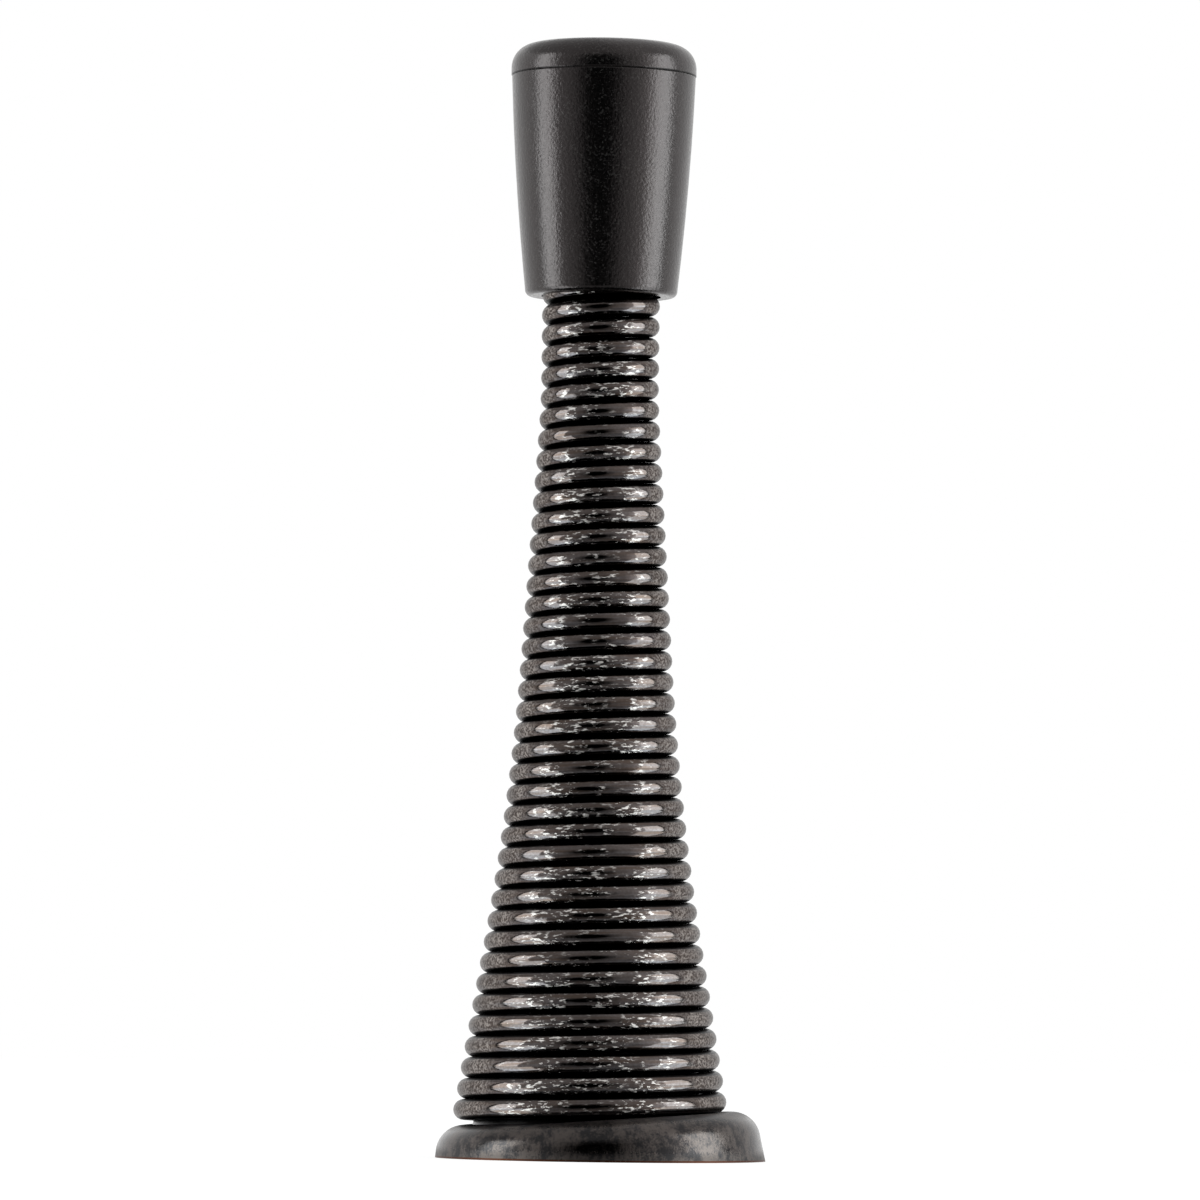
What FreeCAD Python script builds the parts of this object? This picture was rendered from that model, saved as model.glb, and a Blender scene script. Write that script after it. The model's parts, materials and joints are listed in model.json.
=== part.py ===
"""Spring door stop: a rubber tip on a trumpet-shaped, close-wound coil spring, which is wound on to
the plug of a domed mounting base. Millimetres, +Z up. The origin is on the fixing screw's axis, at
the base's underside.
"""

import FreeCAD, Part
import math
import os
import Sketcher
from FreeCAD import Placement, Rotation, Vector

# Driving sizes: word, millimetres (or degrees, where it says so), what it measures
SIZES = (
    ("overall_height", 76.2, "underside of the base to the top of the tip"),
    ("tip_length", 17.4, "tip, mouth to crown"),
    ("tip_cap_diameter", 12.66, "tip, widest, above the mould's parting line"),
    ("tip_cap_height", 2.25, "tip, parting line to crown"),
    ("tip_cap_corner", 1.6, "tip, round from the cap's wall to the crown"),
    ("tip_crown_rise", 0.15, "tip, how far the crown is domed"),
    ("tip_skirt_diameter", 12.58, "tip, just under the parting line"),
    ("tip_mouth_diameter", 10.4, "tip, at the lower rim"),
    ("tip_flank_radius", 200.0, "tip, barrel of the skirt"),
    ("tip_rim_round", 0.4, "tip, round on the lower rim"),
    ("tip_grip_depth", 8.6, "tip, depth of the socket for the spring"),
    ("tip_fit", 0.06, "play between the socket's wall and the spring"),
    ("tip_end_play", 0.2, "least play between the socket's end and the wire"),
    ("wire_diameter", 1.41, "spring's wire"),
    ("coil_gap", 0.017, "air between neighbouring coils"),
    ("neck_diameter", 8.06, "spring, outside, in the straight neck under the tip"),
    ("neck_height", 51.5, "where the neck ends and the shank begins to widen"),
    ("neck_round", 1.5, "half the height of the spring's bend there"),
    ("knee_diameter", 11.61, "spring, outside, where shank and flare would meet"),
    ("knee_height", 24.3, "where they would meet"),
    ("knee_round", 9.7, "half the height of the spring's bend there"),
    ("foot_diameter", 18.75, "spring, outside, at the wire's lower end"),
    ("foot_angle", 140.0, "degrees round from +X to the wire's lower end"),
    ("seat_fit", 0.05, "play between the wire's lower end and the seat"),
    ("seat_edge", 0.12, "play between the lowest coil and the lip round its seat"),
    ("rim_diameter", 22.42, "base, at the underside"),
    ("rim_offset", 0.59, "base, rim's centre from the screw's axis, along +X"),
    ("rim_draft", 8.5, "base, degrees that the rim's wall leans in"),
    ("rim_corner", 1.9, "base, round from the rim's wall to the flange's top"),
    ("crest_lean", 3.55, "base, degrees that the flange's top leans, higher at +X"),
    ("crest_height", 2.78, "base, flange's top above the underside at the rim's centre"),
    ("plug_height", 6.9, "base, top of the plug inside the spring"),
    ("plug_fit", 0.08, "play between the plug and the inside of the coils"),
    ("screw_hole_diameter", 4.5, "base, clearance hole for the fixing screw"),
    ("screw_head_diameter", 8.6, "base, mouth of the screw's countersink"),
    ("countersink_angle", 90.0, "base, degrees across the countersink"),
)

# Sizes that follow from the driving ones. A path radius is to the middle of the wire.
# The seat leans by half a pitch across the coil, as the lowest coil does, and the flange leans more.
WORKED_OUT = (
    ("wire_radius", "sizes.wire_diameter / 2"),
    ("coil_pitch", "sizes.wire_diameter + sizes.coil_gap"),
    ("neck_path", "sizes.neck_diameter / 2 - wire_radius"),
    ("knee_path", "sizes.knee_diameter / 2 - wire_radius"),
    ("foot_path", "sizes.foot_diameter / 2 - wire_radius"),
    ("seat_lean", "atan(coil_pitch / (4 * foot_path))"),
    ("foot_x", "foot_path * cos(sizes.foot_angle)"),
    ("foot_reach", "foot_x - sizes.rim_offset"),
    ("seat_at_foot", "(sizes.crest_height + foot_reach * sin(sizes.crest_lean)) / cos(sizes.crest_lean)"),
    ("seat_height", "(seat_at_foot - foot_x * tan(seat_lean)) * cos(seat_lean)"),
    ("seat_radius", "sizes.foot_diameter / 2 + sizes.seat_edge"),
    ("foot_height", "seat_at_foot + (wire_radius + sizes.seat_fit) / cos(sizes.crest_lean)"),
    ("flare_slope", "(foot_path - knee_path) / (sizes.knee_height - foot_height)"),
    ("plug_inset", "(wire_radius + sizes.plug_fit) * sqrt(1 + flare_slope ^ 2)"),
    ("plug_root", "foot_path + flare_slope * foot_height - plug_inset"),
    ("plug_top", "plug_root - flare_slope * sizes.plug_height"),
    ("trim_depth", "sizes.rim_diameter * tan(sizes.crest_lean)"),
    ("tip_mouth", "sizes.overall_height - sizes.tip_length"),
    ("parting_line", "sizes.overall_height - sizes.tip_cap_height"),
    ("cap_shoulder", "sizes.overall_height - sizes.tip_crown_rise - sizes.tip_cap_corner"),
    ("socket_end", "tip_mouth + sizes.tip_grip_depth"),
    ("socket_radius", "sizes.neck_diameter / 2 + sizes.tip_fit"),
    ("sink_depth", "(sizes.screw_head_diameter - sizes.screw_hole_diameter) / 2"
                   " / tan(sizes.countersink_angle / 2)"),
)

POINTS_PER_TURN = 2
TANGENT_STEP = 0.001
FULL_TURN = 360.0

# Sketcher's numbers for a curve's points, and for a sketch's own origin and upright axis
START, END, CENTRE = 1, 2, 3
ORIGIN = (-1, 1)
UPRIGHT = -2


def fill_sheets(doc):
    """Two sheets: the driving sizes as plain numbers, and what is worked out from them."""
    sizes = doc.addObject("Spreadsheet::Sheet", "sizes")
    for row, (word, value, meaning) in enumerate(SIZES, start=1):
        sizes.set(f"A{row}", meaning)
        sizes.set(f"B{row}", str(value))
        sizes.setAlias(f"B{row}", word)
    doc.recompute()
    derived = doc.addObject("Spreadsheet::Sheet", "derived")
    for row, (word, formula) in enumerate(WORKED_OUT, start=1):
        derived.set(f"A{row}", word)
        derived.set(f"B{row}", f"={formula}")
        derived.setAlias(f"B{row}", word)
        doc.recompute()


def number(doc, expression):
    """An expression's value as a plain number, for a first guess or for a formula curve."""
    value = doc.derived.evalExpression(expression)
    return float(getattr(value, "Value", value))


class Outline:
    """A closed sketch outline whose points and sizes are bound to the sheets."""

    def __init__(self, body, name, plane="XZ_Plane"):
        self.doc = body.Document
        self.sketch = body.newObject("Sketcher::SketchObject", name)
        support = next(f for f in body.Origin.OriginFeatures if f.Role == plane)
        self.sketch.AttachmentSupport = [(support, "")]
        self.sketch.MapMode = "FlatFace"

    def point(self, x, y):
        """A first place for a point, from its two expressions."""
        return Vector(number(self.doc, x), number(self.doc, y), 0)

    def line(self, start, end):
        return self.sketch.addGeometry(Part.LineSegment(start, end))

    def arc(self, centre, radius, first, last):
        """An arc that runs anticlockwise between two angles in degrees."""
        circle = Part.Circle(centre, Vector(0, 0, 1), radius)
        return self.sketch.addGeometry(Part.ArcOfCircle(circle, math.radians(first), math.radians(last)))

    def rule(self, *terms):
        return self.sketch.addConstraint(Sketcher.Constraint(*terms))

    def bind(self, rule, expression):
        self.sketch.setExpression(f"Constraints[{rule}]", expression)

    def across(self, curve, point, expression):
        """Set a point's distance across from the upright axis."""
        self.bind(self.rule("DistanceX", *ORIGIN, curve, point, number(self.doc, expression)), expression)

    def up(self, curve, point, expression):
        """Set a point's height."""
        self.bind(self.rule("DistanceY", *ORIGIN, curve, point, number(self.doc, expression)), expression)

    def on_axis(self, curve, point):
        self.rule("PointOnObject", curve, point, UPRIGHT)

    def radius(self, curve, expression):
        self.bind(self.rule("Radius", curve, number(self.doc, expression)), expression)

    def join(self, before, after):
        self.rule("Coincident", before, END, after, START)

    def flow(self, before, after):
        """Join two curves with no corner between them."""
        self.rule("Tangent", before, END, after, START)

    def polygon(self, corners):
        """Straight sides through corners given as pairs of expressions, x then y, bound to them."""
        places = [self.point(*corner) for corner in corners]
        sides = [self.line(a, b) for a, b in zip(places, places[1:] + places[:1])]
        for before, after in zip(sides, sides[1:] + sides[:1]):
            self.join(before, after)
        for side, (x, y) in zip(sides, corners):
            if x == "0":
                self.on_axis(side, START)
            else:
                self.across(side, START, x)
            self.up(side, START, y)


def spin(body, outline, kind, name):
    """Turn an outline once round its own upright axis, as added or as cut material."""
    feature = body.newObject(f"PartDesign::{kind}", name)
    feature.Profile = outline.sketch
    feature.ReferenceAxis = (outline.sketch, ["V_Axis"])
    feature.Angle = FULL_TURN
    return feature


def rubber_tip(doc):
    """The moulded tip: domed cap above the parting line, barrelled skirt, socket for the spring."""
    body = doc.addObject("PartDesign::Body", "TipBody")
    body.Label = "rubber_tip"
    shape = Outline(body, "TipOutline")
    socket, mouth = "derived.socket_radius", "derived.tip_mouth"
    end, top, parting = "derived.socket_end", "sizes.overall_height", "derived.parting_line"
    rim, skirt, cap = (f"sizes.tip_{word}_diameter / 2" for word in ("mouth", "skirt", "cap"))
    small, flank, corner = "sizes.tip_rim_round", "sizes.tip_flank_radius", "sizes.tip_cap_corner"
    brow = "derived.cap_shoulder"

    inner_rim = shape.point(socket, mouth)
    outer_rim = shape.point(rim, f"{mouth} + {small}")
    skirt_top = shape.point(skirt, parting)
    cap_edge = shape.point(cap, parting)
    cap_top = shape.point(cap, brow)
    crown = shape.point("0", top)
    socket_corner = shape.point(socket, end)
    socket_middle = shape.point("0", end)
    little, large, round_off = (number(doc, size) for size in (small, flank, corner))

    chord = skirt_top - outer_rim
    inward = Vector(-chord.y, chord.x, 0).normalize()
    flank_centre = (outer_rim + skirt_top) / 2 + inward * math.sqrt(large ** 2 - (chord.Length / 2) ** 2)
    corner_centre = cap_top - Vector(round_off, 0, 0)
    crown_drop = number(doc, "sizes.tip_crown_rise")
    crown_radius = (corner_centre.x ** 2 + crown_drop ** 2) / (2 * crown_drop) + round_off
    crown_centre = crown - Vector(0, crown_radius, 0)
    meet = math.degrees(math.atan2(corner_centre.y - crown_centre.y, corner_centre.x))
    low, high = (
        math.degrees(math.atan2(p.y - flank_centre.y, p.x - flank_centre.x)) for p in (outer_rim, skirt_top)
    )

    floor = shape.line(socket_middle, socket_corner)
    wall = shape.line(socket_corner, inner_rim)
    lip = shape.line(inner_rim, outer_rim + Vector(-little, -little, 0))
    rim_round = shape.arc(outer_rim - Vector(little, 0, 0), little, -90, low)
    barrel = shape.arc(flank_centre, large, low, high)
    ledge = shape.line(skirt_top, cap_edge)
    side = shape.line(cap_edge, cap_top)
    shoulder = shape.arc(corner_centre, round_off, 0, meet)
    dome = shape.arc(crown_centre, crown_radius, meet, 90)
    middle = shape.line(crown, socket_middle)

    corners = ((floor, wall), (wall, lip), (barrel, ledge), (ledge, side), (dome, middle), (middle, floor))
    for before, after in corners:
        shape.join(before, after)
    for before, after in ((lip, rim_round), (rim_round, barrel), (side, shoulder), (shoulder, dome)):
        shape.flow(before, after)
    for level in (floor, lip, ledge):
        shape.rule("Horizontal", level)
    for upright in (wall, side):
        shape.rule("Vertical", upright)
    shape.on_axis(floor, START)
    shape.on_axis(dome, END)
    shape.on_axis(dome, CENTRE)
    shape.across(wall, START, socket)
    shape.up(wall, START, end)
    shape.up(lip, START, mouth)
    shape.radius(rim_round, small)
    shape.across(rim_round, END, rim)
    shape.radius(barrel, flank)
    shape.across(ledge, START, skirt)
    shape.up(ledge, START, parting)
    shape.across(side, START, cap)
    shape.up(side, END, brow)
    shape.radius(shoulder, corner)
    shape.up(dome, END, top)
    spin(body, shape, "Revolution", "TipMoulding")
    return body


class WirePath:
    """The middle line of the spring's wire, a helix on a trumpet."""

    def __init__(self, doc):
        read = {word: number(doc, word) for word, _ in WORKED_OUT}
        read.update({word: number(doc, f"sizes.{word}") for word, _, _ in SIZES})
        self.pitch = read["coil_pitch"]
        self.foot = read["foot_height"]
        self.first_angle = math.radians(read["foot_angle"])
        self.neck_path = read["neck_path"]
        self.neck_height, self.neck_round = read["neck_height"], read["neck_round"]
        self.knee_height, self.knee_round = read["knee_height"], read["knee_round"]
        self.shank_slope = (read["knee_path"] - self.neck_path) / (self.neck_height - self.knee_height)
        self.flare_slope = read["flare_slope"]
        room = read["socket_end"] - read["tip_end_play"] - read["wire_radius"] - self.foot
        self.steps = math.floor(room / self.pitch * POINTS_PER_TURN)

    def reach(self, height):
        """Radius at a height: straight neck, shank and flare, with a parabola at each bend."""
        shank = bent_ramp(self.neck_height - height, self.neck_round)
        flare = bent_ramp(self.knee_height - height, self.knee_round)
        return self.neck_path + self.shank_slope * shank + (self.flare_slope - self.shank_slope) * flare

    def at(self, turn):
        height = self.foot + self.pitch * turn
        angle = self.first_angle + 2 * math.pi * turn
        reach = self.reach(height)
        return Vector(reach * math.cos(angle), reach * math.sin(angle), height)

    def along(self, turn):
        return (self.at(turn + TANGENT_STEP) - self.at(turn - TANGENT_STEP)).normalize()

    def wire(self):
        """Pairs of tangent arcs from each chosen point of the helix to the next."""
        turns = [step / POINTS_PER_TURN for step in range(self.steps + 1)]
        arcs = []
        for here, there in zip(turns, turns[1:]):
            arcs += arc_pair(self.at(here), self.along(here), self.at(there), self.along(there))
        return Part.Wire(arcs)


def bent_ramp(past, half):
    """Nought before a bend and the distance past it after, with a parabola for half each way."""
    if abs(past) < half:
        return (past + half) ** 2 / (4 * half)
    return max(past, 0.0)


def arc_pair(start, heading, end, arrival):
    """Two arcs that leave start along heading, meet with no corner and reach end along arrival."""
    span, both = end - start, heading + arrival
    square, linear = 2 * (heading * arrival - 1), span * both
    arm = (linear - math.sqrt(linear ** 2 - square * (span * span))) / square
    first, second = start + heading * arm, end - arrival * arm
    meeting = (first + second) / 2
    return [arc_under(start, first, meeting), arc_under(meeting, second, end)]


def arc_under(start, corner, end):
    """The arc from start to end that touches both sides of their corner."""
    weight = math.sin((start - corner).getAngle(end - corner) / 2)
    crown = (start + end + corner * (2 * weight)) / (2 + 2 * weight)
    return Part.Arc(start, crown, end).toShape()


def coil_spring(doc):
    """Round wire swept along the trumpet helix, from its seat on the base into the tip's socket."""
    path = WirePath(doc)
    line = doc.addObject("Part::Feature", "WirePath")
    line.Shape = path.wire()
    section = doc.addObject("Part::Circle", "WireSection")
    section.setExpression("Radius", "derived.wire_radius")
    section.Placement = Placement(path.at(0), Rotation(Vector(0, 0, 1), path.along(0)))
    doc.recompute()
    spring = doc.addObject("Part::Sweep", "Spring")
    spring.Label = "coil_spring"
    spring.Sections = [section]
    spring.Spine = (line, [])
    spring.Solid = True
    spring.Frenet = True
    return spring


def mounting_base(doc):
    """The casting: leaning flange with a sunk seat for the lowest coil, tapered plug, screw hole."""
    body = doc.addObject("PartDesign::Body", "BaseBody")
    body.Label = "mounting_base"

    flange = Outline(body, "FlangeOutline")
    flange.sketch.setExpression("AttachmentOffset.Base.x", "sizes.rim_offset")
    flange.sketch.setExpression("AttachmentOffset.Rotation.Angle", "sizes.crest_lean")
    below, crest, corner = "-derived.trim_depth", "sizes.crest_height", "sizes.rim_corner"
    skirt = "sizes.rim_diameter / 2 + derived.trim_depth * tan(sizes.rim_draft)"
    bottom, middle, crown = (flange.point(*p) for p in ((skirt, below), ("0", below), ("0", crest)))
    lean, round_off = number(doc, "sizes.rim_draft"), number(doc, corner)
    inside = bottom.x - round_off - (crown.y - bottom.y) * math.tan(math.radians(lean))
    centre = Vector(inside, crown.y - round_off, 0)
    shoulder_start = centre + Vector(round_off, 0, 0)
    underside = flange.line(middle, bottom)
    wall = flange.line(bottom, shoulder_start)
    shoulder = flange.arc(centre, round_off, lean, 90)
    plateau = flange.line(centre + Vector(0, round_off, 0), crown)
    axis = flange.line(crown, middle)
    for before, after in ((underside, wall), (plateau, axis), (axis, underside)):
        flange.join(before, after)
    for before, after in ((wall, shoulder), (shoulder, plateau)):
        flange.flow(before, after)
    for level in (underside, plateau):
        flange.rule("Horizontal", level)
    flange.on_axis(underside, START)
    flange.on_axis(axis, START)
    flange.across(wall, START, skirt)
    flange.up(wall, START, below)
    flange.bind(flange.rule("Angle", wall, math.radians(90 + lean)), "90 deg + sizes.rim_draft * 1 deg")
    flange.radius(shoulder, corner)
    flange.up(axis, START, crest)
    spin(body, flange, "Revolution", "Flange")

    trim = Outline(body, "TrimOutline", "XY_Plane")
    wide = "sizes.rim_diameter"
    disc = trim.sketch.addGeometry(Part.Circle(Vector(), Vector(0, 0, 1), number(doc, wide)))
    trim.rule("Coincident", disc, CENTRE, *ORIGIN)
    trim.radius(disc, wide)
    flat = body.newObject("PartDesign::Pocket", "FlatUnderside")
    flat.Profile = trim.sketch
    flat.setExpression("Length", "2 * derived.trim_depth")

    seat = Outline(body, "SeatOutline")
    seat.sketch.setExpression("AttachmentOffset.Rotation.Angle", "derived.seat_lean")
    level, edge, clear = "derived.seat_height", "derived.seat_radius", "2 * sizes.crest_height"
    seat.polygon((("0", level), (edge, level), (edge, clear), ("0", clear)))
    spin(body, seat, "Groove", "SunkSeat")

    plug = Outline(body, "PlugOutline")
    top = "sizes.plug_height"
    plug.polygon((("0", "0"), ("derived.plug_root", "0"), ("derived.plug_top", top), ("0", top)))
    spin(body, plug, "Revolution", "Plug")

    hole = Outline(body, "ScrewHoleOutline")
    shank, head = "sizes.screw_hole_diameter / 2", "sizes.screw_head_diameter / 2"
    sink = f"{top} - derived.sink_depth"
    hole.polygon((("0", "0"), (shank, "0"), (shank, sink), (head, top), ("0", top)))
    spin(body, hole, "Groove", "ScrewHole")
    return body


def check(doc, pieces):
    """Stop if an object failed or a sub-part's shape is missing or broken."""
    for item in doc.Objects:
        if {"Invalid", "Error"} & set(item.State):
            raise RuntimeError(f"{item.Name} failed: {item.State}")
    for piece in pieces:
        if piece.Shape.isNull() or not piece.Shape.isValid() or len(piece.Shape.Solids) != 1:
            raise RuntimeError(f"{piece.Label} is not one valid solid")


def main():
    doc = FreeCAD.newDocument("SpringDoorStop")
    fill_sheets(doc)
    pieces = [rubber_tip(doc), coil_spring(doc), mounting_base(doc)]
    doc.recompute()
    check(doc, pieces)
    os.makedirs("parts", exist_ok=True)
    for piece in pieces:
        piece.Shape.exportStep(f"parts/{piece.Label}.step")
        box = piece.Shape.optimalBoundingBox(True, False)
        print(
            f"{piece.Label}: {piece.Shape.Volume:.2f} mm3, {len(piece.Shape.Faces)} faces,"
            f" z {box.ZMin:.3f} to {box.ZMax:.3f}, x {box.XMin:.3f} to {box.XMax:.3f}"
        )


main()
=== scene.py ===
"""Looks of a spring door stop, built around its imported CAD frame.

Three pieces stand on a pale floor: a moulded rubber tip, a trumpet-shaped spring of bronzed wire and
a cast base. Everything is in metres, in the frame's own axes, with +Z up.
"""

import json
import logging
import math
from dataclasses import dataclass
from enum import Enum

import bpy
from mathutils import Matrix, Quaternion, Vector

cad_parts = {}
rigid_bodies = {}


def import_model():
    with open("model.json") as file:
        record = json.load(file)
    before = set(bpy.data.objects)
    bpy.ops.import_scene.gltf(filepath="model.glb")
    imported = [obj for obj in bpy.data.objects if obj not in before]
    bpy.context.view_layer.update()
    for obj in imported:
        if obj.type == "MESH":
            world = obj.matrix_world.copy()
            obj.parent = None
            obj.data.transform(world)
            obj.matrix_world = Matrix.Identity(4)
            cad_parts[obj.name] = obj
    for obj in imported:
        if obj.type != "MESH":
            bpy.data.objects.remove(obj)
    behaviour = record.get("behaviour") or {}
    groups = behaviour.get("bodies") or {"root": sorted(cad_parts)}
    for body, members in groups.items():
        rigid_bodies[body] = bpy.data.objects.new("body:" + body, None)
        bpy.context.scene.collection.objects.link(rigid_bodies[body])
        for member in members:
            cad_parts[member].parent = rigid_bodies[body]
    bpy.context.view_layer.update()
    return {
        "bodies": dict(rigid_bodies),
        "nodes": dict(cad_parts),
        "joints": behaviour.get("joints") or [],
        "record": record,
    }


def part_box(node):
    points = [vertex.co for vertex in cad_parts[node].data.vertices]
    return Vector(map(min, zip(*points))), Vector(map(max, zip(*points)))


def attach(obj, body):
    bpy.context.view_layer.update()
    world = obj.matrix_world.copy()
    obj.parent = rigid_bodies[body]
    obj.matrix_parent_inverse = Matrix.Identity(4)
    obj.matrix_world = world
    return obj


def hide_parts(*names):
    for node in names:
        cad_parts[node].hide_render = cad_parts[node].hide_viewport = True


LOG = logging.getLogger("door_stop")
MM = 0.001
BODY = "root"
WHITE = (1.0, 1.0, 1.0, 1.0)
NOISE_LOW, NOISE_HIGH = 0.3, 0.7

Span = tuple[float, float]


class Node(Enum):
    """The frame's solids, by name."""

    TIP = "rubber_tip"
    SPRING = "coil_spring"
    BASE = "mounting_base"


def linear(colour: str) -> tuple[float, float, float, float]:
    """Turn an sRGB hex colour into linear light.

    Args:
        colour: Six hex digits after a hash.

    Returns:
        Red, green, blue and an alpha of one.
    """
    parts = [int(colour[i:i + 2], 16) / 255 for i in (1, 3, 5)]
    red, green, blue = (c / 12.92 if c <= 0.04045 else ((c + 0.055) / 1.055) ** 2.4 for c in parts)
    return red, green, blue, 1.0


def add_node(
    tree: bpy.types.NodeTree, kind: str, inputs: dict[str | int, object] | None = None, **settings: object,
) -> bpy.types.Node:
    """Add a node, set its properties, and fill or link its inputs.

    Args:
        tree: The node tree that takes it.
        kind: The node's type.
        inputs: Values or sockets, by the input's name or number.
        **settings: The node's own properties.

    Returns:
        The new node.
    """
    node = tree.nodes.new(kind)
    for word, value in settings.items():
        setattr(node, word, value)
    for word, value in (inputs or {}).items():
        if isinstance(value, bpy.types.NodeSocket):
            tree.links.new(value, node.inputs[word])
        else:
            node.inputs[word].default_value = value
    return node


def per_metre(millimetres: float) -> float:
    """The scale of a pattern whose marks are this far apart, on coordinates in metres."""
    return 1 / (millimetres * MM)


def new_material(name: str) -> tuple[bpy.types.Material, bpy.types.NodeTree]:
    """Make a material with an empty node tree.

    Args:
        name: What the finish is called.

    Returns:
        The material and its tree.
    """
    material = bpy.data.materials.new(name)
    material.use_nodes = True
    material.node_tree.nodes.clear()
    return material, material.node_tree


@dataclass(frozen=True)
class BronzedWire:
    """Hard-drawn spring steel with a dark bronze plating. Sizes are in millimetres."""

    # Drawn wire is smooth along its length, so lights show in it as long sharp-edged leaves, crossed by
    # faint streaks of browner tarnish. Its two handled sides have short bright scuffs in clusters, and the
    # two sides between them are frosted and mottled with a pale grain. The grooves between the coils are
    # painted near black as shade, and the top of the wire's round is painted warmer and its underside cooler
    # as a painted reflection tint. The scuffs and the grain are drawn coarser than the real ones, which are
    # too fine to show.
    # Painted reflection tint: the warm colour on top of the wire's round, the cool one underneath.
    painted_warm_top: str = "#645e5d"
    painted_cool_underside: str = "#616063"
    tarnish: str = "#584c45"
    pit: str = "#4a423e"
    edge: str = "#d6d6d6"
    bright: str = "#eeeae6"
    frost: str = "#9c9590"
    # Painted shade: near black in the grooves between the coils.
    painted_groove_shade: str = "#0b0a0a"
    roughness: float = 0.07
    mottle: Span = (0.8, 1.3)
    scuff_roughness: float = 0.55
    frost_roughness: float = 0.26
    streak_length: float = 4.0
    streak_width: float = 0.22
    streak_detail: float = 4.0
    streak_share: float = 0.3
    scuff_length: float = 0.5
    scuff_width: float = 0.17
    scuff_detail: float = 3.0
    cluster: float = 1.9
    grain: float = 0.16
    spot_detail: float = 2.0
    noise_roughness: float = 0.62
    bump_depth: float = 0.05
    bump_strength: float = 0.5

    # Heights on the wire's round, from its middle, for the painted warm top tint and the painted groove
    # shade.
    painted_tint_heights: Span = (-0.35, 0.15)
    groove_shade_depths: Span = (0.46, 0.53)

    # Where each mark starts and where it is full, in the values of its noise.
    rubbed: Span = (0.36, 0.58)
    torn: Span = (0.545, 0.62)
    gathered: Span = (0.4, 0.53)
    pitted: Span = (0.56, 0.44)
    pale: Span = (0.42, 0.64)
    least_pale: float = 0.6
    least_pits: float = 0.35

    # The same for the sides of the spring, where one is the front or the back.
    handled: Span = (0.7, 0.92)
    matt: Span = (0.7, 0.56)

    def material(self) -> bpy.types.Material:
        """Build the plating's nodes on the unwound wire's own coordinates.

        Returns:
            The finished material.
        """
        material, tree = new_material("bronzed_spring_wire")
        wire = add_node(tree, "ShaderNodeAttribute", attribute_name=CoilSpring.UNWOUND).outputs["Vector"]
        drawn, struck = (
            add_node(tree, "ShaderNodeMapping", {
                "Vector": wire, "Scale": (per_metre(length), per_metre(width), per_metre(width)),
            }).outputs["Vector"]
            for length, width in (
                (self.streak_length, self.streak_width), (self.scuff_length, self.scuff_width),
            )
        )
        streaks, scuffs, clusters, grain = (
            add_node(tree, "ShaderNodeTexNoise", {
                "Vector": vector, "Scale": scale, "Detail": detail, "Roughness": self.noise_roughness,
            }).outputs["Fac"]
            for vector, scale, detail in (
                (drawn, 1.0, self.streak_detail), (struck, 1.0, self.scuff_detail),
                (wire, per_metre(self.cluster), self.spot_detail),
                (wire, per_metre(self.grain), self.spot_detail),
            )
        )
        up = add_node(tree, "ShaderNodeSeparateXYZ", {"Vector": wire}).outputs["Z"]
        depth = add_node(tree, "ShaderNodeMath", {0: up}, operation="ABSOLUTE").outputs["Value"]
        place = add_node(tree, "ShaderNodeTexCoord").outputs["Object"]
        flat = add_node(tree, "ShaderNodeMapping", {"Vector": place, "Scale": (1, 1, 0)}).outputs["Vector"]
        outward = add_node(tree, "ShaderNodeVectorMath", {0: flat}, operation="NORMALIZE").outputs["Vector"]
        across = add_node(tree, "ShaderNodeSeparateXYZ", {"Vector": outward}).outputs["Y"]
        turned = add_node(tree, "ShaderNodeMath", {0: across}, operation="ABSOLUTE").outputs["Value"]
        top_tint_share, painted_groove_shade, rubbed, torn, gathered, pitted, pale, handled, matt = (
            add_node(tree, "ShaderNodeMapRange", {
                "Value": value, "From Min": start * unit, "From Max": full * unit,
            }).outputs["Result"]
            for value, (start, full), unit in (
                (up, self.painted_tint_heights, MM), (depth, self.groove_shade_depths, MM), (streaks, self.rubbed, 1),
                (scuffs, self.torn, 1), (clusters, self.gathered, 1), (grain, self.pitted, 1),
                (grain, self.pale, 1), (turned, self.handled, 1), (turned, self.matt, 1),
            )
        )
        patchy, open_pits = (
            add_node(tree, "ShaderNodeMapRange", {"Value": value, "To Min": least}).outputs["Result"]
            for value, least in ((gathered, self.least_pale), (matt, self.least_pits))
        )
        pale, pitted, gathered = (
            add_node(tree, "ShaderNodeMath", {0: marks, 1: share}, operation="MULTIPLY").outputs["Value"]
            for marks, share in ((pale, patchy), (pitted, open_pits), (gathered, handled))
        )
        frosted, worn = (
            add_node(tree, "ShaderNodeMath", {0: marks, 1: share}, operation="MULTIPLY").outputs["Value"]
            for marks, share in ((pale, matt), (torn, gathered))
        )
        # Painted reflection tint: cooler underneath, warmer on top of the wire's round.
        colour = add_node(tree, "ShaderNodeMix", {
            0: top_tint_share, 6: linear(self.painted_cool_underside), 7: linear(self.painted_warm_top),
        }, data_type="RGBA").outputs[2]
        colour = add_node(tree, "ShaderNodeMix", {
            0: rubbed, 6: linear(self.tarnish), 7: colour,
        }, data_type="RGBA").outputs[2]
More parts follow.
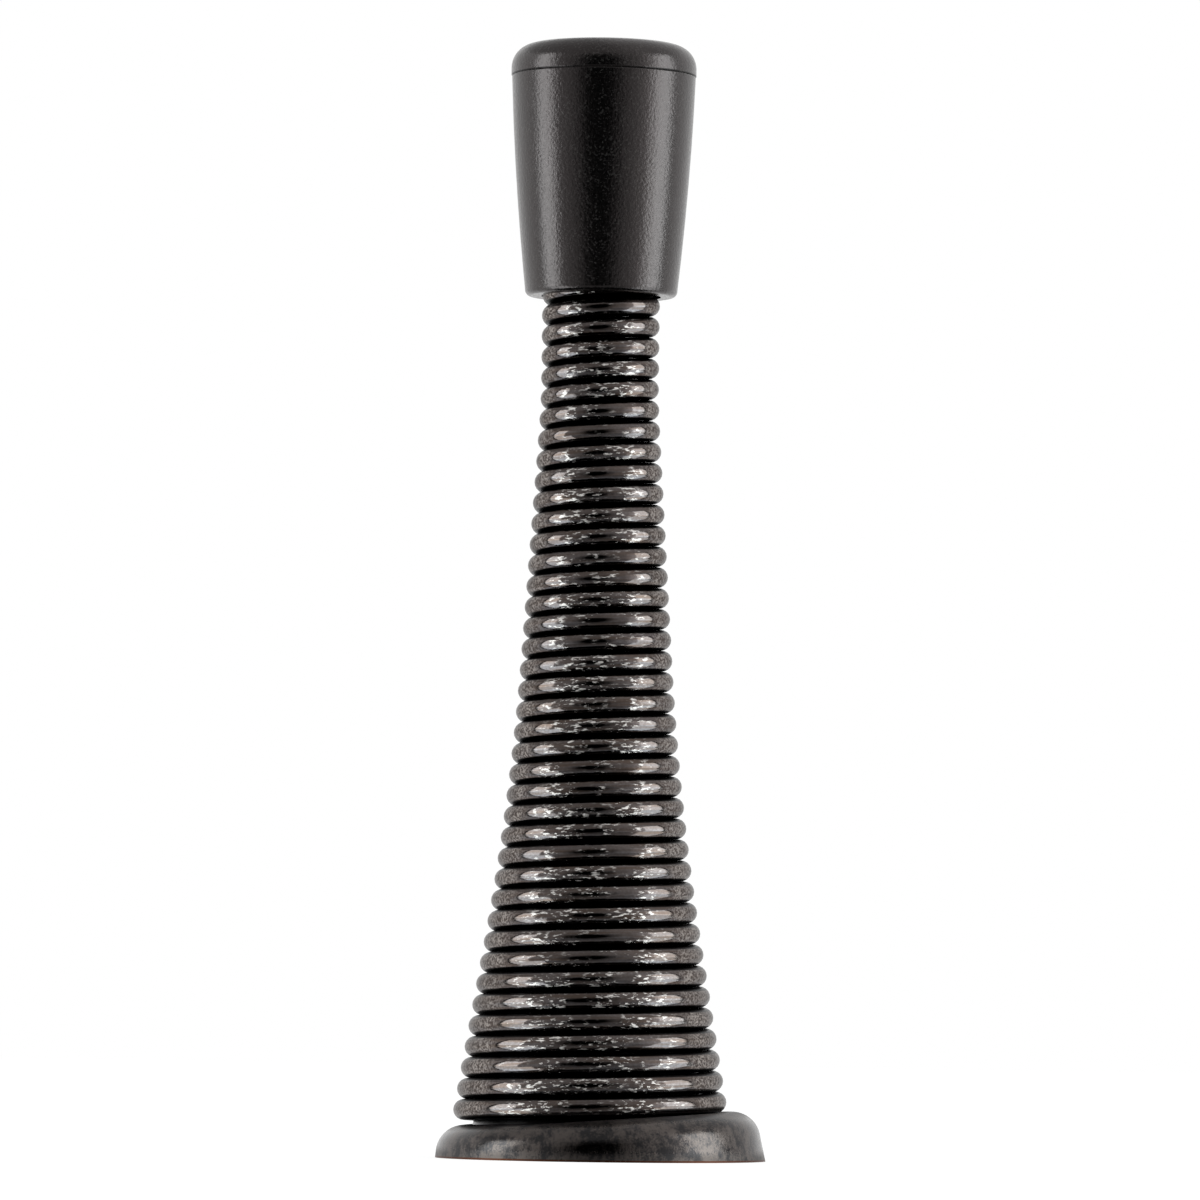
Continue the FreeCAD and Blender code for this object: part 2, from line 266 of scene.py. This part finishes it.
        # Pits, frost and scuffs are the wire's own marks; the last mix paints shade into the grooves between
        # the coils.
        for share, shade in (
            (pitted, self.pit), (frosted, self.frost), (worn, self.bright), (painted_groove_shade, self.painted_groove_shade),
        ):
            colour = add_node(tree, "ShaderNodeMix", {
                0: share, 6: colour, 7: linear(shade),
            }, data_type="RGBA").outputs[2]
        smoother, rougher = self.mottle
        rough = add_node(tree, "ShaderNodeMapRange", {
            "Value": grain, "From Min": NOISE_LOW, "From Max": NOISE_HIGH,
            "To Min": self.roughness * smoother, "To Max": self.roughness * rougher,
        }).outputs["Result"]
        for share, last in ((matt, self.frost_roughness), (worn, self.scuff_roughness)):
            rough = add_node(tree, "ShaderNodeMix", {
                0: share, 2: rough, 3: last,
            }, data_type="FLOAT").outputs[0]
        drawing = add_node(tree, "ShaderNodeMath", {
            0: streaks, 1: self.streak_share,
        }, operation="MULTIPLY").outputs["Value"]
        relief = add_node(tree, "ShaderNodeMath", {
            0: scuffs, 1: gathered, 2: drawing,
        }, operation="MULTIPLY_ADD").outputs["Value"]
        bump = add_node(tree, "ShaderNodeBump", {
            "Strength": self.bump_strength, "Distance": self.bump_depth * MM, "Height": relief,
        }).outputs["Normal"]
        shader = add_node(tree, "ShaderNodeBsdfPrincipled", {
            "Base Color": colour, "Metallic": 1.0, "Roughness": rough, "Normal": bump,
            "Specular Tint": linear(self.edge),
        })
        add_node(tree, "ShaderNodeOutputMaterial", {"Surface": shader.outputs["BSDF"]})
        return material


@dataclass(frozen=True)
class MouldedRubber:
    """Black natural rubber as it leaves a satin mould. Sizes are in millimetres."""

    # A satin mould gives the skin a soft sheen with a fine grain in it, and a little dust clings to it. Dirt
    # in the crease at the mould's parting takes the sheen away there. The grain, the dust and the crease are
    # drawn coarser than the real ones, which are too fine to show.
    black: str = "#050505"
    grey: str = "#0b0b0b"
    dust: str = "#363534"
    sheen: str = "#fff2f1"
    ior: float = 1.58
    gloss: float = 0.5
    roughness: float = 0.2
    mottle: Span = (0.8, 1.3)
    grain: float = 0.2
    grain_depth: float = 0.03
    speck: float = 0.16
    drift: float = 3.5
    drift_share: float = 0.2
    dusty: Span = (0.68, 0.77)
    noise_detail: float = 2.0
    noise_roughness: float = 0.6
    bump_strength: float = 0.8
    parting_height: float = 73.93
    crease_width: float = 0.18
    crease_depth: float = 0.05
    crease_full: float = 0.5
    crease_gloss: float = 0.15

    def material(self) -> bpy.types.Material:
        """Build the rubber's nodes.

        Returns:
            The finished material.
        """
        material, tree = new_material("moulded_black_rubber")
        place = add_node(tree, "ShaderNodeTexCoord").outputs["Object"]
        grain, specks, drifts = (
            add_node(tree, "ShaderNodeTexNoise", {
                "Vector": place, "Scale": per_metre(size), "Detail": self.noise_detail,
                "Roughness": self.noise_roughness,
            }).outputs["Fac"]
            for size in (self.grain, self.speck, self.drift)
        )
        settled = add_node(tree, "ShaderNodeMath", {
            0: drifts, 1: self.drift_share, 2: specks,
        }, operation="MULTIPLY_ADD").outputs["Value"]
        start, full = self.dusty
        dusty = add_node(tree, "ShaderNodeMapRange", {
            "Value": settled, "From Min": start, "From Max": full,
        }).outputs["Result"]
        bare = add_node(tree, "ShaderNodeMix", {
            0: grain, 6: linear(self.black), 7: linear(self.grey),
        }, data_type="RGBA").outputs[2]
        colour = add_node(tree, "ShaderNodeMix", {
            0: dusty, 6: bare, 7: linear(self.dust),
        }, data_type="RGBA").outputs[2]
        smoother, rougher = self.mottle
        rough = add_node(tree, "ShaderNodeMapRange", {
            "Value": grain, "From Min": NOISE_LOW, "From Max": NOISE_HIGH,
            "To Min": self.roughness * smoother, "To Max": self.roughness * rougher,
        }).outputs["Result"]
        height = add_node(tree, "ShaderNodeSeparateXYZ", {"Vector": place}).outputs["Z"]
        above = add_node(tree, "ShaderNodeMath", {
            0: height, 1: self.parting_height * MM,
        }, operation="SUBTRACT").outputs["Value"]
        apart = add_node(tree, "ShaderNodeMath", {0: above}, operation="ABSOLUTE").outputs["Value"]
        crease = add_node(tree, "ShaderNodeMapRange", {
            "Value": apart, "From Min": self.crease_width / 2 * MM, "From Max": 0.0,
        }).outputs["Result"]
        gloss = add_node(tree, "ShaderNodeMapRange", {
            "Value": crease, "From Max": self.crease_full, "To Min": self.gloss, "To Max": self.crease_gloss,
        }).outputs["Result"]
        bump = add_node(tree, "ShaderNodeBump", {
            "Strength": self.bump_strength, "Distance": self.grain_depth * MM, "Height": grain,
        }).outputs["Normal"]
        bump = add_node(tree, "ShaderNodeBump", {
            "Strength": self.bump_strength, "Distance": self.crease_depth * MM, "Height": crease,
            "Normal": bump,
        }, invert=True).outputs["Normal"]
        shader = add_node(tree, "ShaderNodeBsdfPrincipled", {
            "Base Color": colour, "Roughness": rough, "IOR": self.ior, "Normal": bump,
            "Specular IOR Level": gloss, "Specular Tint": linear(self.sheen),
        })
        add_node(tree, "ShaderNodeOutputMaterial", {"Surface": shader.outputs["BSDF"]})
        return material


@dataclass(frozen=True)
class BronzedCasting:
    """A zinc die casting, tumbled and then plated dark bronze. Sizes are in millimetres."""

    # Tumbling leaves cloudy patches, fine upright scores and a grain that break up the lights on the rim. The
    # top and the hem are duller, the seat under the coils is painted near black as shade, and the lower
    # edge is worn brown where it rubs on what it is screwed to. The scores and the grain are drawn coarser
    # than the real ones, which are too fine to show.
    dark: str = "#373637"
    light: str = "#5b5552"
    brown: str = "#4a2c1e"
    # Painted shade on the seat under the coils.
    painted_seat_shade: str = "#0c0b0b"
    roughness: float = 0.19
    mottle: Span = (0.75, 1.35)
    dull_roughness: float = 0.45
    blotch: float = 1.3
    score_width: float = 0.25
    score_height: float = 1.0
    score_share: float = 0.45
    grain: float = 0.13
    grain_share: float = 0.6
    patches: Span = (0.92, 1.13)
    noise_detail: float = 4.0
    noise_roughness: float = 0.62
    bump_depth: float = 0.03
    bump_strength: float = 0.35
    worn_heights: Span = (0.16, 0.096)
    # Reach from the axis where the painted seat shade starts and where it is full.
    seat_shade_reaches: Span = (9.1, 9.0)
    hem_heights: Span = (0.8, 0.3)
    facing_up: Span = (0.75, 0.97)

    def material(self) -> bpy.types.Material:
        """Build the casting's nodes.

        Returns:
            The finished material.
        """
        material, tree = new_material("bronzed_zinc_casting")
        place = add_node(tree, "ShaderNodeTexCoord").outputs["Object"]
        across, upright = per_metre(self.score_width), per_metre(self.score_height)
        scored = add_node(tree, "ShaderNodeMapping", {
            "Vector": place, "Scale": (across, across, upright),
        }).outputs["Vector"]
        mixed, scores, grain = (
            add_node(tree, "ShaderNodeTexNoise", {
                "Vector": vector, "Scale": scale, "Detail": self.noise_detail,
                "Roughness": self.noise_roughness,
            }).outputs["Fac"]
            for vector, scale in (
                (place, per_metre(self.blotch)), (scored, 1.0), (place, per_metre(self.grain)),
            )
        )
        for marks, share in ((scores, self.score_share), (grain, self.grain_share)):
            mixed = add_node(tree, "ShaderNodeMath", {
                0: marks, 1: share, 2: mixed,
            }, operation="MULTIPLY_ADD").outputs["Value"]
        height = add_node(tree, "ShaderNodeSeparateXYZ", {"Vector": place}).outputs["Z"]
        flat = add_node(tree, "ShaderNodeMapping", {"Vector": place, "Scale": (1, 1, 0)}).outputs["Vector"]
        reach = add_node(tree, "ShaderNodeVectorMath", {0: flat}, operation="LENGTH").outputs["Value"]
        normal = add_node(tree, "ShaderNodeNewGeometry").outputs["Normal"]
        upward = add_node(tree, "ShaderNodeSeparateXYZ", {"Vector": normal}).outputs["Z"]
        patches, worn, painted_shade_under_coil, top, hem = (
            add_node(tree, "ShaderNodeMapRange", {
                "Value": value, "From Min": start * unit, "From Max": full * unit,
            }).outputs["Result"]
            for value, (start, full), unit in (
                (mixed, self.patches, 1), (height, self.worn_heights, MM), (reach, self.seat_shade_reaches, MM),
                (upward, self.facing_up, 1), (height, self.hem_heights, MM),
            )
        )
        colour = add_node(tree, "ShaderNodeMix", {
            0: patches, 6: linear(self.dark), 7: linear(self.light),
        }, data_type="RGBA").outputs[2]
        # The seat mix is painted shade under the coils; the brown lower edge is real wear.
        for share, shade in ((painted_shade_under_coil, self.painted_seat_shade), (worn, self.brown)):
            colour = add_node(tree, "ShaderNodeMix", {
                0: share, 6: colour, 7: linear(shade),
            }, data_type="RGBA").outputs[2]
        smoother, rougher = self.mottle
        rough = add_node(tree, "ShaderNodeMapRange", {
            "Value": patches, "To Min": self.roughness * smoother, "To Max": self.roughness * rougher,
        }).outputs["Result"]
        for dull in (top, hem):
            rough = add_node(tree, "ShaderNodeMix", {
                0: dull, 2: rough, 3: self.dull_roughness,
            }, data_type="FLOAT").outputs[0]
        bump = add_node(tree, "ShaderNodeBump", {
            "Strength": self.bump_strength, "Distance": self.bump_depth * MM, "Height": mixed,
        }).outputs["Normal"]
        shader = add_node(tree, "ShaderNodeBsdfPrincipled", {
            "Base Color": colour, "Metallic": 1.0, "Roughness": rough, "Normal": bump,
        })
        add_node(tree, "ShaderNodeOutputMaterial", {"Surface": shader.outputs["BSDF"]})
        return material


@dataclass
class KeptSolid:
    """A solid of the frame that keeps its shape and gets a finish."""

    node: Node
    finish: MouldedRubber | BronzedCasting

    def dress(self, frame: dict) -> bpy.types.Object:
        """Give the solid its finish.

        Args:
            frame: The loaded frame.

        Returns:
            The solid's mesh object.
        """
        solid = frame["nodes"][self.node.value]
        solid.data.materials.clear()
        solid.data.materials.append(self.finish.material())
        return solid


@dataclass
class CoilSpring:
    """The spring: round wire on a trumpet-shaped helix. Sizes are in millimetres, outside the wire."""

    UNWOUND = "unwound"

    wire_diameter: float = 1.42
    turns: float = 44.0
    foot_angle: float = 140.0
    neck_diameter: float = 8.06
    neck_height: float = 51.5
    neck_round: float = 1.5
    knee_diameter: float = 11.61
    knee_height: float = 24.3
    knee_round: float = 9.7
    foot_diameter: float = 18.75
    points_per_turn: int = 72
    wire_sides: int = 20
    weld: float = 0.0001
    smooth_angle: float = 40.0

    def __post_init__(self) -> None:
        """Take the wire's lower and upper ends from the frame."""
        low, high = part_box(Node.SPRING.value)
        self.wire_radius = self.wire_diameter / 2
        self.foot_height = low.z / MM + self.wire_radius
        self.top_height = high.z / MM - self.wire_radius
        self.pitch = (self.top_height - self.foot_height) / self.turns

    @staticmethod
    def ramp(past: float, half: float) -> float:
        """Nought before a bend and the distance past it after, with a parabola for half each way.

        Args:
            past: How far past the bend.
            half: Half the bend's length.

        Returns:
            The height of the ramp.
        """
        if abs(past) < half:
            return (past + half) ** 2 / (4 * half)
        return max(past, 0.0)

    def reach(self, height: float) -> float:
        """Find the helix's radius.

        Args:
            height: Height above the underside of the base.

        Returns:
            Distance from the axis to the middle of the wire.
        """
        outside = (self.neck_diameter, self.knee_diameter, self.foot_diameter)
        neck, knee, foot = (diameter / 2 - self.wire_radius for diameter in outside)
        shank_slope = (knee - neck) / (self.neck_height - self.knee_height)
        flare_slope = (foot - knee) / (self.knee_height - self.foot_height)
        shank = self.ramp(self.neck_height - height, self.neck_round)
        flare = self.ramp(self.knee_height - height, self.knee_round)
        return neck + shank_slope * shank + (flare_slope - shank_slope) * flare

    def centreline(self) -> list[Vector]:
        """Follow the middle of the wire from its foot up.

        Returns:
            Points along it, in metres.
        """
        points = []
        for step in range(int(self.turns * self.points_per_turn) + 1):
            turn = step / self.points_per_turn
            height = self.foot_height + self.pitch * turn
            angle = math.radians(self.foot_angle) + 2 * math.pi * turn
            reach = self.reach(height)
            points.append(Vector((reach * math.cos(angle), reach * math.sin(angle), height)) * MM)
        return points

    def build(self) -> bpy.types.Object:
        """Wind the wire and put it in the place of the frame's spring.

        Returns:
            The spring's mesh object.
        """
        points = self.centreline()
        bpy.ops.object.select_all(action="DESELECT")
        bpy.ops.curve.primitive_nurbs_path_add()
        piece = bpy.context.active_object
        piece.name = "spring_wire_wound"
        curve = piece.data
        curve.splines.clear()
        spline = curve.splines.new("POLY")
        spline.points.add(len(points) - 1)
        for knot, point in zip(spline.points, points):
            knot.co = (*point, 1.0)
        curve.twist_mode = "Z_UP"
        curve.bevel_depth = self.wire_radius * MM
        # A bevel has four sides, and two more for each step of its resolution.
        curve.bevel_resolution = self.wire_sides // 2 - 2
        curve.use_fill_caps = True
        bpy.ops.object.convert(target="MESH")
        self.mark_unwound(piece, points)
        bpy.ops.object.mode_set(mode="EDIT")
        bpy.ops.mesh.select_all(action="SELECT")
        bpy.ops.mesh.remove_doubles(threshold=self.weld * MM)
        bpy.ops.mesh.normals_make_consistent(inside=False)
        bpy.ops.object.mode_set(mode="OBJECT")
        bpy.ops.object.shade_smooth_by_angle(angle=math.radians(self.smooth_angle))
        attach(piece, BODY)
        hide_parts(Node.SPRING.value)
        return piece

    def mark_unwound(self, piece: bpy.types.Object, points: list[Vector]) -> None:
        """Give each point of the mesh its place on the straight wire: along it, out from the coil, and up.

        Args:
            piece: The wire's mesh.
            points: The middle line that it follows.
        """
        run = [0.0]
        for here, there in zip(points, points[1:]):
            run.append(run[-1] + (there - here).length)
        first = math.radians(self.foot_angle)
        marks = piece.data.attributes.new(self.UNWOUND, "FLOAT_VECTOR", "POINT")
        for vertex, mark in zip(piece.data.vertices, marks.data):
            share = (math.atan2(vertex.co.y, vertex.co.x) - first) / (2 * math.pi)
            whole = round((vertex.co.z / MM - self.foot_height) / self.pitch - share)
            step = round((whole + share) * self.points_per_turn)
            step = min(max(step, 0), len(points) - 1)
            centre = points[step]
            outward = vertex.co.xy.length - centre.xy.length
            mark.vector = (run[step], outward, vertex.co.z - centre.z)

    def dress(self, piece: bpy.types.Object) -> None:
        """Give the wire its finish."""
        piece.data.materials.clear()
        piece.data.materials.append(BronzedWire().material())


@dataclass
class Studio:
    """Floor, light and camera.

    Sizes are in millimetres, angles in degrees from the camera's side, and brightness against a white of one.
    """

    LEVEL = "level"

    camera_place: tuple[float, float, float] = (0.19, -565.0, 10.8)
    camera_aim: tuple[float, float, float] = (0.19, 0.0, 38.06)
    camera_roll: float = 0.74
    camera_clip: Span = (10.0, 10000.0)
    lens: float = 248.8
    sensor: float = 36.0

    surround: float = 0.35
    floor_width: float = 1600.0
    floor_drop: float = 0.02
    floor_colour: str = "#c4c4c4"
    floor_glow: float = 0.8

    # Two soft boxes stand at the sides.
    middle: float = 38.0
    lamp_distance: float = 650.0
    lamp_tint: str = "#f6feff"
    lamp_top: float = 33.0
    left_radiance: float = 3.35
    left_span: Span = (-93.0, -68.0)
    right_radiance: float = 3.6
    right_span: Span = (67.0, 97.0)

    # Cards that only reflections show: a grey ceiling that is brighter to the sides, a grey front with a dark
    # spot where the camera stands, the lit floor under the lamps, and dark edges beside them.
    card_distance: float = 750.0
    card_segments: int = 180
    card_rings: int = 90
    dark_below: float = -48.0
    edge_width: float = 5.0
    ceiling: float = 0.42
    ceiling_turn: float = 60.0
    ceiling_gain: float = 0.0048
    ceiling_right_gain: float = 0.0021
    front: float = 0.46
    front_from: float = 32.0
    front_gain: float = 0.011
    front_right_from: float = 46.0
    front_right_gain: float = 0.04
    spot_turn: float = -4.0
    spot_rise: float = 6.0
    spot_edge: Span = (18.0, 35.0)
    low_front: float = -16.0
    low_share: float = 0.55
    low_left_in: float = -54.0
    low_right_in: float = 62.0
    low_right_out: float = 102.0
    side_floor: float = 3.5
    tint_from: float = 1.5

    def build_camera(self) -> None:
        """Set up the camera at the photograph's viewing angle."""
        place, aim = Vector(self.camera_place) * MM, Vector(self.camera_aim) * MM
        bpy.ops.object.camera_add(location=place)
        camera = bpy.context.active_object
        camera.rotation_mode = "QUATERNION"
        roll = Quaternion((0, 0, 1), math.radians(self.camera_roll))
        camera.rotation_quaternion = (aim - place).to_track_quat("-Z", "Y") @ roll
        camera.data.lens = self.lens
        camera.data.sensor_width = self.sensor
        camera.data.clip_start, camera.data.clip_end = (distance * MM for distance in self.camera_clip)
        bpy.context.scene.camera = camera

    def build_lamp(self, name: str, span: Span, radiance: float) -> None:
        """Stand one soft box on the floor, facing the object.

        Args:
            name: What it is called.
            span: Its two upright edges, in degrees from the camera's side, positive to the right.
            radiance: How bright it looks, where white is one.
        """
        turn, half = math.radians(sum(span) / 2), math.radians(span[1] - span[0]) / 2
        width = 2 * self.lamp_distance * math.tan(half)
        height = self.middle + self.lamp_distance * math.tan(math.radians(self.lamp_top))
        away = Vector((math.sin(turn), -math.cos(turn), 0))
        place = away * self.lamp_distance + Vector((0, 0, height / 2))
        bpy.ops.object.light_add(type="AREA", location=place * MM)
        lamp = bpy.context.active_object
        lamp.name = name
        lamp.rotation_mode = "QUATERNION"
        lamp.rotation_quaternion = (-away).to_track_quat("-Z", "Y")
        lamp.data.shape = "RECTANGLE"
        lamp.data.size, lamp.data.size_y = width * MM, height * MM
        lamp.data.color = linear(self.lamp_tint)[:3]
        lamp.data.energy = radiance * math.pi * width * height * MM * MM
        lamp.visible_camera = False

    @staticmethod
    def add_seen(tree: bpy.types.NodeTree) -> bpy.types.NodeSocket:
        """Tell the rays that show the white surround from those that only carry its light.

        Args:
            tree: The node tree that takes the nodes.

        Returns:
            A socket that is one for camera, glossy and transmission rays, and nought for the rest.
        """
        path = add_node(tree, "ShaderNodeLightPath")
        seen = path.outputs["Is Camera Ray"]
        for kind in ("Is Glossy Ray", "Is Transmission Ray"):
            seen = add_node(tree, "ShaderNodeMath", {
                0: seen, 1: path.outputs[kind],
            }, operation="MAXIMUM").outputs["Value"]
        return seen

    def build_world(self) -> None:
        """A white surround for the eye and for reflections, and a dim one as a light."""
        world = bpy.data.worlds.new("white_surround")
        bpy.context.scene.world = world
        world.use_nodes = True
        tree = world.node_tree
        tree.nodes.clear()
        strength = add_node(tree, "ShaderNodeMapRange", {
            "Value": self.add_seen(tree), "To Min": self.surround, "To Max": 1.0,
        }).outputs["Result"]
        back = add_node(tree, "ShaderNodeBackground", {"Color": WHITE, "Strength": strength})
        add_node(tree, "ShaderNodeOutputWorld", {"Surface": back.outputs["Background"]})

    def build_floor(self) -> None:
        """A pale floor that looks white and keeps the object's shadow."""
        bpy.ops.object.select_all(action="DESELECT")
        bpy.ops.mesh.primitive_plane_add(size=self.floor_width * MM, location=(0, 0, -self.floor_drop * MM))
        floor = bpy.context.active_object
        floor.name = "floor"
        material, tree = new_material("pale_floor")
        strength = add_node(tree, "ShaderNodeMath", {
            0: self.add_seen(tree), 1: self.floor_glow,
        }, operation="MULTIPLY").outputs["Value"]
        matt = add_node(tree, "ShaderNodeBsdfDiffuse", {"Color": linear(self.floor_colour)})
        glow = add_node(tree, "ShaderNodeEmission", {"Color": WHITE, "Strength": strength})
        both = add_node(tree, "ShaderNodeAddShader", {0: matt.outputs["BSDF"], 1: glow.outputs["Emission"]})
        add_node(tree, "ShaderNodeOutputMaterial", {"Surface": both.outputs["Shader"]})
        floor.data.materials.append(material)
        floor.visible_glossy = False

    def front_level(self, toward: Vector, azimuth: float) -> float:
        """Find how bright the front card is in one direction from the object.

        Args:
            toward: The direction, of any length.
            azimuth: The same, as an angle from the camera's side, positive to the right.

        Returns:
            The brightness there.
        """
        turn, rise = math.radians(self.spot_turn), math.radians(self.spot_rise)
        spot = Vector((math.sin(turn) * math.cos(rise), -math.cos(turn) * math.cos(rise), math.sin(rise)))
        away = math.degrees(toward.angle(spot))
        start, full = self.spot_edge
        level = self.front * min(max((away - start) / (full - start), 0.0), 1.0)
        level += self.front_gain * max(away - self.front_from, 0.0)
        return level + self.front_right_gain * max(azimuth - self.front_right_from, 0.0)

    def level_at(self, toward: Vector) -> float | None:
        """Find how bright the cards are in one direction from the object.

        Args:
            toward: The direction, of any length.

        Returns:
            The brightness there, or None where the white surround or a lamp shows.
        """
        azimuth = math.degrees(math.atan2(toward.x, -toward.y))
        elevation = math.degrees(math.asin(toward.z / toward.length))
        (left_out, left_in), (right_in, right_out) = self.left_span, self.right_span
        if elevation < self.dark_below:
            return 0.0
        if elevation > self.lamp_top:
            side = max(-self.ceiling_turn, min(self.ceiling_turn, azimuth))
            return self.ceiling + self.ceiling_gain * abs(side) + self.ceiling_right_gain * side
        if elevation < self.low_front:
            left_in, right_in, right_out = self.low_left_in, self.low_right_in, self.low_right_out
        if left_in < azimuth < right_in:
            share = 1.0 if elevation > self.low_front else self.low_share
            return share * self.front_level(toward, azimuth)
        if left_out < azimuth < right_out:
            return self.side_floor if elevation < 0 else None
        if left_out - self.edge_width < azimuth < right_out + self.edge_width:
            return 0.0
        return None

    def build_cards(self) -> None:
        """Hang the cards on a ball round the object. Only reflections show them."""
        bpy.ops.object.select_all(action="DESELECT")
        bpy.ops.mesh.primitive_uv_sphere_add(
            segments=self.card_segments, ring_count=self.card_rings,
            radius=self.card_distance * MM, location=(0, 0, self.middle * MM),
        )
        ball = bpy.context.active_object
        ball.name = "reflected_cards"
        bpy.ops.object.mode_set(mode="EDIT")
        bpy.ops.mesh.select_all(action="DESELECT")
        bpy.ops.object.mode_set(mode="OBJECT")
        levels = ball.data.attributes.new(self.LEVEL, "FLOAT", "FACE")
        for face, mark in zip(ball.data.polygons, levels.data):
            level = self.level_at(face.center)
            face.select = level is None
            mark.value = level or 0.0
        bpy.ops.object.mode_set(mode="EDIT")
        bpy.ops.mesh.delete(type="FACE")
        bpy.ops.object.mode_set(mode="OBJECT")
        material, tree = new_material("card_and_cloth")
        shine = add_node(tree, "ShaderNodeAttribute", attribute_name=self.LEVEL).outputs["Fac"]
        lit = add_node(tree, "ShaderNodeMapRange", {
            "Value": shine, "From Min": self.tint_from, "From Max": self.side_floor,
        }).outputs["Result"]
        colour = add_node(tree, "ShaderNodeMix", {
            0: lit, 6: WHITE, 7: linear(self.lamp_tint),
        }, data_type="RGBA").outputs[2]
        glow = add_node(tree, "ShaderNodeEmission", {"Color": colour, "Strength": shine})
        add_node(tree, "ShaderNodeOutputMaterial", {"Surface": glow.outputs["Emission"]})
        ball.data.materials.append(material)
        ball.visible_camera = False
        ball.visible_diffuse = False
        ball.visible_transmission = False
        ball.visible_shadow = False

    def build(self) -> None:
        """Set the whole stage."""
        bpy.context.scene.view_settings.view_transform = "Standard"
        self.build_world()
        self.build_floor()
        self.build_cards()
        self.build_lamp("left_box", self.left_span, self.left_radiance)
        self.build_lamp("right_box", self.right_span, self.right_radiance)
        self.build_camera()


def main() -> None:
    """Load the frame, build and dress the pieces, and set the stage."""
    logging.basicConfig(level=logging.INFO, format="%(message)s")
    for thing in list(bpy.data.objects):
        bpy.data.objects.remove(thing)
    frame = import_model()
    spring = CoilSpring()
    wire = spring.build()
    spring.dress(wire)
    tip = KeptSolid(Node.TIP, MouldedRubber()).dress(frame)
    base = KeptSolid(Node.BASE, BronzedCasting()).dress(frame)
    for piece in (wire, tip, base):
        LOG.info("%s: %d faces", piece.name, len(piece.data.polygons))
    Studio().build()


if __name__ == "__main__":
    main()
